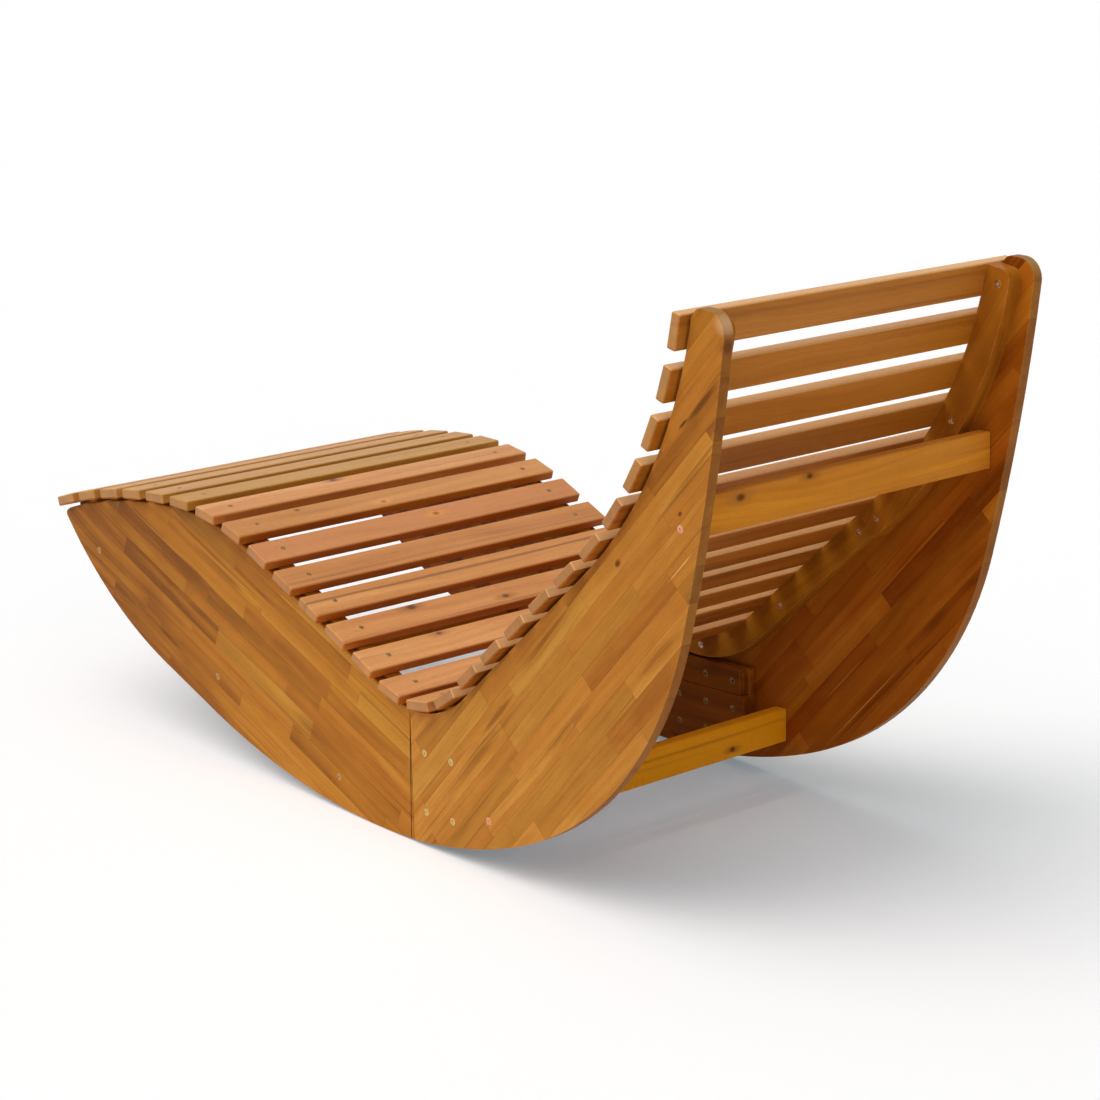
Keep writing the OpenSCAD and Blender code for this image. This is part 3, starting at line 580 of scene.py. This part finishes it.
def board_tone(g, stops, pink, dark, place, grains, blush):
    """The colour of the board's wood, without knots and ends."""
    figure, streaks, _ = grains
    share = g.add(g.own("tone"), figure, BOARD_FIGURE)
    share = g.add(share, streaks, BOARD_STREAKS)
    share = g.add(share, blush, BOARD_BLUSH)
    tone = g.ramp(share, stops)
    tone = g.mix(g.math("MULTIPLY", g.own("pink"), g.span(blush, *BLUSH_SPAN)), tone, pink)
    tone = g.mix(g.math("MULTIPLY", g.own("gold"), BOARD_GOLD_SHARE), tone, BOARD_GOLD_COLOUR)
    long_streak = layer(g, place, g.own("seed"), LONG_STREAK)
    tone = g.mix(g.span(long_streak, *LONG_STREAK_SPAN), tone, dark)
    waved = g.add(place[1], figure, OWN_STREAK_WAVE)
    off_streak = g.math("ABSOLUTE", g.math("SUBTRACT", waved, g.own("streak_across")))
    own_streak = g.math("MULTIPLY", g.span(off_streak, *OWN_STREAK_SPAN), g.own("streak"))
    return g.mix(own_streak, tone, dark)


def board_wood(name, stops, pink, dark, gloss, painted_under_shade):
    """A sawn board whose fibres run along its own length, with the knots that it carries. Painted shade
    darkens the faces that look down, and lowers their gloss."""
    g = Surface(name)
    along, across, through = board_place(g)
    knots = [knot_place(g, along, across, number) for number in (0, 1)]
    place = (along, bent_round(g, across, knots), through)
    grains = grain(g, place, g.own("seed"))
    blush = layer(g, place, g.own("seed"), BLUSH)
    tone = board_tone(g, stops, pink, dark, place, grains, blush)
    for number, offsets in enumerate(knots):
        tone = knotted(g, tone, offsets, blush, number)
    ends = g.math("MULTIPLY", end_grain(g, (0, 1, 0)), g.own("runs_in_y"))
    tone = g.mix(g.math("MULTIPLY", ends, g.span(blush, *BLUSH_SPAN)), tone, BOARD_END_COLOUR)
    backward, _, upward = g.parts(g.true_normal())[:3]
    # Painted light: upper faces that look to the rear are made paler, on the back slats only
    painted_light_mask = g.math("MULTIPLY", g.span(backward, *BACKWARD_SPAN), g.span(upward, *UPWARD_SPAN))
    tone = g.mix(g.math("MULTIPLY", painted_light_mask, g.own("painted_light_on_tops")), tone, PAINTED_LIGHT_ON_TOPS)
    # Painted shade: faces that look down are darkened, and their gloss is lowered
    under = g.span(upward, *DOWNWARD_SPAN)
    tone = g.mix(under, tone, painted_under_shade, "MULTIPLY")
    sheen = g.math("MULTIPLY", g.math("MULTIPLY_ADD", under, UNDER_SHEEN - 1, 1.0), gloss)
    return finish_wood(g, tone, grains[1:], sheen)


def plated(name, bright, dull, roughness, at_foot):
    """Plated steel, duller and rougher in patches. At the foot end it may have another colour."""
    g = Surface(name)
    place = g.node("TexCoord").outputs["Object"]
    patches = g.noise(g.scaled(place, PATCH_SCALE), PATCH_DETAIL)
    tone = colour(bright)
    if at_foot:
        tone = g.mix(g.math("LESS_THAN", g.parts(place)[0], 0.0), tone, at_foot)
    g.set("Base Color", g.mix(g.span(patches, *PATCH_SPAN), tone, dull))
    g.set("Roughness", g.span(patches, *PATCH_ROUGH_SPAN, roughness, roughness + PATCH_ROUGHENS))
    g.set("Metallic", 1.0)
    dished = g.node("Bevel", {"Radius": HEAD_ROUND}, samples=HEAD_SAMPLES).outputs["Normal"]
    g.set("Normal", relief(g, patches, METAL_RELIEF, dished))
    return g.material


def loops_of(edges):
    """The edges in groups that hang together."""
    left = set(edges)
    while left:
        loop, fresh = [], [left.pop()]
        while fresh:
            edge = fresh.pop()
            loop.append(edge)
            near = {e for corner in edge.verts for e in corner.link_edges} & left
            left -= near
            fresh += near
        yield loop


def spot(place):
    """A corner's place, rounded so that the same corner always compares equal."""
    return tuple(round(c, SPOT_DIGITS) for c in place)


def outer_edges(mesh):
    """The sharp edges of a board, without the rims of its screw holes, each as the spots of its two ends."""
    shape = bmesh.new()
    shape.from_mesh(mesh)
    bmesh.ops.remove_doubles(shape, verts=shape.verts, dist=SAME_POINT)
    sharp = [e for e in shape.edges if e.is_manifold and e.calc_face_angle() > radians(SHARP_TURN)]
    outer = set()
    for loop in loops_of(sharp):
        places = np.array([corner.co for edge in loop for corner in edge.verts])
        if np.linalg.norm(np.ptp(places, axis=0)) > HOLE_REACH:
            outer |= {frozenset(spot(corner.co) for corner in edge.verts) for edge in loop}
    shape.free()
    return outer


def mark_outer_edges(mesh):
    """Marks the edges that the bevel softens."""
    outer = outer_edges(mesh)
    spots = [spot(corner.co) for corner in mesh.vertices]
    weights = [float(frozenset(spots[i] for i in edge.vertices) in outer) for edge in mesh.edges]
    mesh.attributes.new("bevel_weight_edge", "FLOAT", "EDGE").data.foreach_set("value", weights)


def soften(node):
    """Welds the node's corners, makes each flat face whole, and rounds its marked edges."""
    weld = node.modifiers.new("weld", "WELD")
    weld.merge_threshold = SAME_POINT
    flat = node.modifiers.new("whole_faces", "DECIMATE")
    flat.decimate_type = "DISSOLVE"
    flat.angle_limit = radians(SAME_FACE_TURN)
    bevel = node.modifiers.new("soft_edges", "BEVEL")
    bevel.width = EDGE_ROUND
    bevel.segments = EDGE_SEGMENTS
    bevel.limit_method = "WEIGHT"
    bevel.use_clamp_overlap = True
    bevel.harden_normals = False
    node.modifiers.new("flat_faces", "WEIGHTED_NORMAL")


def dress(node, material):
    """Gives a CAD node its material and soft edges."""
    node.data.materials.clear()
    node.data.materials.append(material)
    node.data.shade_smooth()
    mark_outer_edges(node.data)
    if "custom_normal" in node.data.attributes:
        node.data.attributes.remove(node.data.attributes["custom_normal"])
    soften(node)


def lie_of(node):
    """The middle of a board's section in the side view, and the turn of its longer side."""
    flat = np.array([(v.co.x, v.co.z) for v in node.data.vertices])
    low, high = flat.min(axis=0), flat.max(axis=0)
    middle = (low + high) / 2
    spread = np.cov((flat - flat.mean(axis=0)).T)
    turn = 0.5 * np.arctan2(2 * spread[0, 1], spread[0, 0] - spread[1, 1])
    return middle, turn


def mark(node, luck, runs_in_y, look, knots=(), streak=NO_STREAK):
    """Writes what the board material reads: where the board lies, its tone, its knots and its streak."""
    middle, turn = lie_of(node)
    numbers = {
        "middle_x": middle[0], "middle_z": middle[1],
        "turn_cos": np.cos(turn), "turn_sin": np.sin(turn),
        "runs_in_y": 1.0 if runs_in_y else 0.0,
        "seed": luck.random(),
        "tone": look[0], "pink": look[1], "gold": look[2],
        "streak_across": streak[0], "streak": streak[1],
        # Only the back slats get painted light on their upper rear faces
        "painted_light_on_tops": PAINTED_LIGHT_ON_TOPS_SHARE if node.name.startswith("back_slat") else 0.0,
    }
    for number, knot in enumerate((list(knots) + [NO_KNOT, NO_KNOT])[:2]):
        for part, value in zip(("along", "across", "size", "glow"), knot):
            numbers[f"knot{number}_{part}"] = value
    for key, value in numbers.items():
        node[key] = float(value)


def lamps():
    """The broad lamps, as suns."""
    for name, (toward, level, spread) in LAMPS.items():
        lamp = bpy.data.objects.new(name, bpy.data.lights.new(name, "SUN"))
        bpy.context.scene.collection.objects.link(lamp)
        lamp.rotation_euler = (-toward).to_track_quat("-Z", "Y").to_euler()
        lamp.data.angle = radians(spread)
        lamp.data.energy = level * pi


def sky_level():
    """The light that an open level surface gets from the sky, where a plain white sky gives 1."""
    step = pi / 2 / SKY_STEPS
    turns, heights = ((np.arange(count) + 0.5) * step for count in (4 * SKY_STEPS, SKY_STEPS))
    turn, height = np.meshgrid(turns, heights)
    toward = np.stack([np.cos(height) * np.cos(turn), np.cos(height) * np.sin(turn), np.sin(height)])
    facing = np.maximum(0, np.tensordot(np.array(SKY_FROM), toward, 1))
    share = np.sin(height) * np.cos(height) * step**2 / pi
    return float(((SKY_LOW + SKY_LOBE * facing ** SKY_POWER) * share).sum())


def seen_directly(g):
    """1 for rays from the camera, and for the reflections that should show the same background."""
    path = g.node("LightPath").outputs
    return g.math("MAXIMUM", g.math("MAXIMUM", path["Is Camera Ray"], path["Is Glossy Ray"]),
                  path["Is Transmission Ray"])


def room():
    """The sky, which lights the object from above and looks white behind it."""
    world = bpy.data.worlds.new("room")
    bpy.context.scene.world = world
    world.use_nodes = True
    g = Graph(world.node_tree)
    facing = g.math("MAXIMUM", g.dot(g.node("TexCoord").outputs["Generated"], SKY_FROM), 0.0)
    sky = g.math("MULTIPLY_ADD", g.math("POWER", facing, float(SKY_POWER)), SKY_LOBE, SKY_LOW)
    background = world.node_tree.nodes["Background"]
    background.inputs["Color"].default_value = (1, 1, 1, 1)
    strength = g.node("Mix", {"Factor": seen_directly(g), "A": sky, "B": 1.0}).outputs["Result"]
    g.put(background.inputs["Strength"], strength)


def floor():
    """A pale floor that takes the object's shadow, and shows white to the camera where nothing shades it."""
    half = FLOOR_SIZE / 2
    mesh = bpy.data.meshes.new("floor")
    corners = [(-half, -half, 0), (half, -half, 0), (half, half, 0), (-half, half, 0)]
    mesh.from_pydata(corners, [], [(0, 1, 2, 3)])
    plane = bpy.data.objects.new("floor", mesh)
    bpy.context.scene.collection.objects.link(plane)
    g = Surface("pale_floor")
    cloud = g.noise(g.scaled(g.node("TexCoord").outputs["Object"], FLOOR_CLOUD), FLOOR_DETAIL)
    darker = [FLOOR_DARKER * c for c in FLOOR_COLOUR]
    g.set("Base Color", g.mix(g.span(cloud, *FLOOR_SPAN), darker + [1], list(FLOOR_COLOUR) + [1]))
    g.set("Roughness", FLOOR_ROUGHNESS)
    g.set("Specular IOR Level", 0.0)
    level = sky_level() + sum(strength * toward.z for toward, strength, _ in LAMPS.values())
    g.set("Emission Color", [1 - c * level for c in FLOOR_COLOUR] + [1])
    g.set("Emission Strength", seen_directly(g))
    mesh.materials.append(g.material)


def camera():
    """The camera, where the photograph was taken from."""
    data = bpy.data.cameras.new("camera")
    data.sensor_width = SENSOR
    data.lens = CAMERA_LENS
    data.clip_end = CAMERA_REACH
    eye = bpy.data.objects.new("camera", data)
    bpy.context.scene.collection.objects.link(eye)
    eye.location = CAMERA_PLACE
    eye.rotation_euler = (radians(CAMERA_TILT), 0, radians(CAMERA_TURN))
    bpy.context.scene.camera = eye


def wood_and_metal():
    """Every material, by its kind."""
    materials = {
        "front": stave_wood("front_panel_wood", FRONT_STAVES, FRONT_STOPS, MARKS["front"], FRONT_FADE),
        "rear": stave_wood("rear_panel_wood", REAR_STAVES, REAR_STOPS, MARKS["rear"], REAR_FADE),
    }
    for kind, look in BOARD_WOODS.items():
        materials[kind] = board_wood(f"{kind}_wood", *look)
    for kind, look in PLATINGS.items():
        materials[kind] = plated(f"{kind}_plating", *look)
    return materials


def mark_board(name, node, kind, luck, look, knots):
    """Gives a board its own look: its entry in the tables, or the look and knots drawn for it."""
    if kind == "bar":
        mark(node, luck, True, BAR_LOOKS.get(name, (look[0], 0.0, 0.0)), KNOTS.get(name, knots))
    elif kind == "slat":
        knots = KNOTS.get(name, knots if "leg" in name else [])
        mark(node, luck, True, SLAT_LOOKS.get(name, look), knots, STREAKS.get(name, NO_STREAK))
    elif kind == "rail":
        mark(node, luck, False, look)
    elif kind == "splice":
        # The splice boards' lower tone is painted shade
        mark(node, luck, False, (look[0] - SPLICE_PAINTED_SHADE, look[1], 0.0))


def dress_all():
    """Dresses every node. Each draws its chances in turn, whether it has use for them or not."""
    luck = np.random.default_rng(SEED)
    materials = wood_and_metal()
    for name, node in nodes.items():
        look = [luck.uniform(*reach) for reach in LOOK_RANGES]
        knot = [luck.uniform(*reach) for reach in KNOT_RANGES] + [luck.random()]
        knots = [knot] if luck.random() < KNOT_CHANCE else []
        kind = next(kind for word, kind in KINDS if word in name)
        dress(node, materials[kind])
        mark_board(name, node, kind, luck, look, knots)


dress_all()
lamps()
room()
floor()
camera()
bpy.context.scene.view_settings.view_transform = "Standard"
